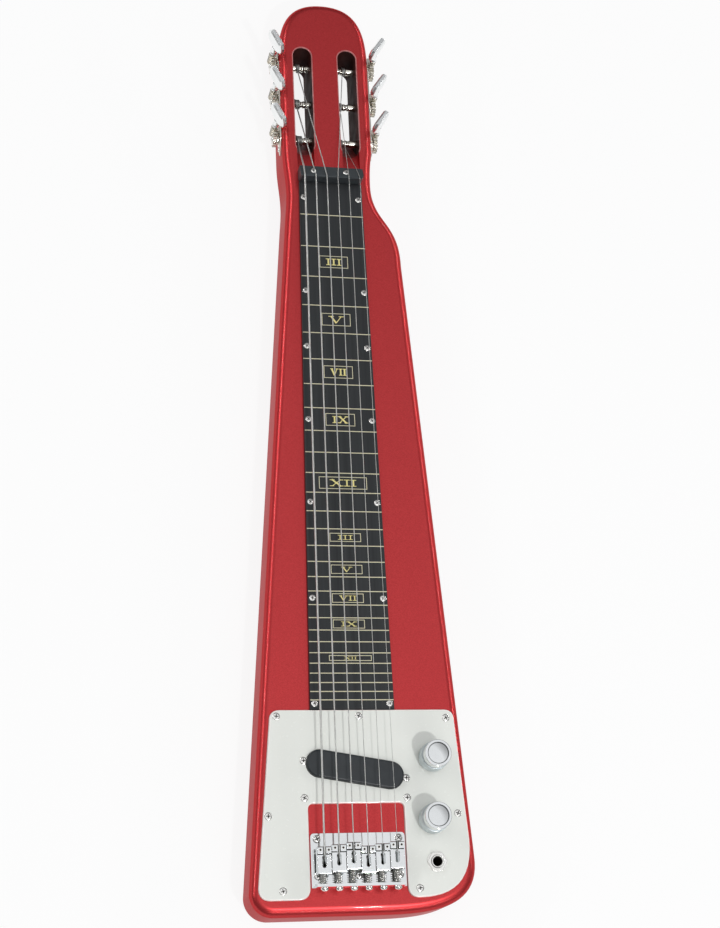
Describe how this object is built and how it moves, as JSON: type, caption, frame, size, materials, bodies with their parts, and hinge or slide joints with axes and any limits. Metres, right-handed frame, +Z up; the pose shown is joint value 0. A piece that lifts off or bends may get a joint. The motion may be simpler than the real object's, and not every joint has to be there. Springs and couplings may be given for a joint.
{
  "type": "lap steel guitar",
  "caption": "Solid-body lap steel guitar with a slotted head, worm-geared tuners, a wide flat fingerboard, a slanted pickup, a bridge with separate saddles, control knobs and an output jack.",
  "frame": {"origin": "on the flat back face, straight under the middle of the line where the strings leave the nut", "axes": "+Z up out of the fingerboard, +Y along the strings towards the head, +X towards the control knobs"},
  "size_m": [0.1657, 0.7495, 0.0625],
  "materials": {
    "red_lacquer": "gloss metallic lacquer over solid wood",
    "charcoal_board": "satin, with pale fret lines",
    "pale_guard": "gloss sheet with a bevelled edge",
    "black_plastic": "satin moulding",
    "chrome": "polished chrome plate",
    "nickel": "nickel plate, slightly warm",
    "string_steel": "drawn steel wire, the heavier strings wound"
  },
  "bodies": {
    "root": {"body": "red_lacquer", "fingerboard": "charcoal_board", "string_1": "string_steel", "string_2": "string_steel", "string_3": "string_steel", "string_4": "string_steel", "string_5": "string_steel", "string_6": "string_steel", "nut": "charcoal_board", "pickguard": "pale_guard", "pickup_cover": "black_plastic", "pickup_bobbin": "black_plastic", "bridge_plate": "chrome", "saddle_1": "chrome", "saddle_2": "chrome", "saddle_3": "chrome", "saddle_4": "chrome", "saddle_5": "chrome", "saddle_6": "chrome", "intonation_screw_1": "nickel", "intonation_screw_2": "nickel", "intonation_screw_3": "nickel", "intonation_screw_4": "nickel", "intonation_screw_5": "nickel", "intonation_screw_6": "nickel", "tuner_plate_left": "nickel", "tuner_plate_right": "nickel", "pot_volume": "nickel", "pot_tone": "nickel", "jack": "nickel", "jack_nut": "nickel"},
    "tuner_key_1": {"worm_1": "nickel", "button_1": "chrome"},
    "tuner_key_2": {"worm_2": "nickel", "button_2": "chrome"},
    "tuner_key_3": {"worm_3": "nickel", "button_3": "chrome"},
    "tuner_key_4": {"worm_4": "nickel", "button_4": "chrome"},
    "tuner_key_5": {"worm_5": "nickel", "button_5": "chrome"},
    "tuner_key_6": {"worm_6": "nickel", "button_6": "chrome"},
    "tuner_post_1": {"roller_1": "nickel", "gear_1": "nickel"},
    "tuner_post_2": {"roller_2": "nickel", "gear_2": "nickel"},
    "tuner_post_3": {"roller_3": "nickel", "gear_3": "nickel"},
    "tuner_post_4": {"roller_4": "nickel", "gear_4": "nickel"},
    "tuner_post_5": {"roller_5": "nickel", "gear_5": "nickel"},
    "tuner_post_6": {"roller_6": "nickel", "gear_6": "nickel"},
    "volume_control": {"knob_volume": "chrome", "pot_shaft_volume": "nickel"},
    "tone_control": {"knob_tone": "chrome", "pot_shaft_tone": "nickel"}
  },
  "joints": [
    {"name": "key_1_turn", "type": "hinge", "parent": "root", "child": "tuner_key_1", "pos_m": [0.0422, 0.0536, 0.025], "axis": [0, 0, 1], "continuous": true},
    {"name": "key_2_turn", "type": "hinge", "parent": "root", "child": "tuner_key_2", "pos_m": [0.0422, 0.0879, 0.025], "axis": [0, 0, 1], "continuous": true},
    {"name": "key_3_turn", "type": "hinge", "parent": "root", "child": "tuner_key_3", "pos_m": [0.0422, 0.1222, 0.025], "axis": [0, 0, 1], "continuous": true},
    {"name": "key_4_turn", "type": "hinge", "parent": "root", "child": "tuner_key_4", "pos_m": [-0.0422, 0.1222, 0.025], "axis": [0, 0, 1], "continuous": true},
    {"name": "key_5_turn", "type": "hinge", "parent": "root", "child": "tuner_key_5", "pos_m": [-0.0422, 0.0879, 0.025], "axis": [0, 0, 1], "continuous": true},
    {"name": "key_6_turn", "type": "hinge", "parent": "root", "child": "tuner_key_6", "pos_m": [-0.0422, 0.0536, 0.025], "axis": [0, 0, 1], "continuous": true},
    {"name": "post_1_turn", "type": "hinge", "parent": "root", "child": "tuner_post_1", "pos_m": [0.0268, 0.0454, 0.025], "axis": [1, 0, 0], "continuous": true},
    {"name": "post_2_turn", "type": "hinge", "parent": "root", "child": "tuner_post_2", "pos_m": [0.0268, 0.0797, 0.025], "axis": [1, 0, 0], "continuous": true},
    {"name": "post_3_turn", "type": "hinge", "parent": "root", "child": "tuner_post_3", "pos_m": [0.0268, 0.114, 0.025], "axis": [1, 0, 0], "continuous": true},
    {"name": "post_4_turn", "type": "hinge", "parent": "root", "child": "tuner_post_4", "pos_m": [-0.0268, 0.114, 0.025], "axis": [1, 0, 0], "continuous": true},
    {"name": "post_5_turn", "type": "hinge", "parent": "root", "child": "tuner_post_5", "pos_m": [-0.0268, 0.0797, 0.025], "axis": [1, 0, 0], "continuous": true},
    {"name": "post_6_turn", "type": "hinge", "parent": "root", "child": "tuner_post_6", "pos_m": [-0.0268, 0.0454, 0.025], "axis": [1, 0, 0], "continuous": true},
    {"name": "volume_turn", "type": "hinge", "parent": "root", "child": "volume_control", "pos_m": [0.05735, -0.4682, 0.05], "axis": [0, 0, 1], "range_deg": [-150, 150]},
    {"name": "tone_turn", "type": "hinge", "parent": "root", "child": "tone_control", "pos_m": [0.05495, -0.5129, 0.05], "axis": [0, 0, 1], "range_deg": [-150, 150]}
  ],
  "couplings": [
    {"joint": "post_1_turn", "follows": "key_1_turn", "ratio": -0.071429},
    {"joint": "post_2_turn", "follows": "key_2_turn", "ratio": -0.071429},
    {"joint": "post_3_turn", "follows": "key_3_turn", "ratio": -0.071429},
    {"joint": "post_4_turn", "follows": "key_4_turn", "ratio": -0.071429},
    {"joint": "post_5_turn", "follows": "key_5_turn", "ratio": -0.071429},
    {"joint": "post_6_turn", "follows": "key_6_turn", "ratio": -0.071429}
  ]
}
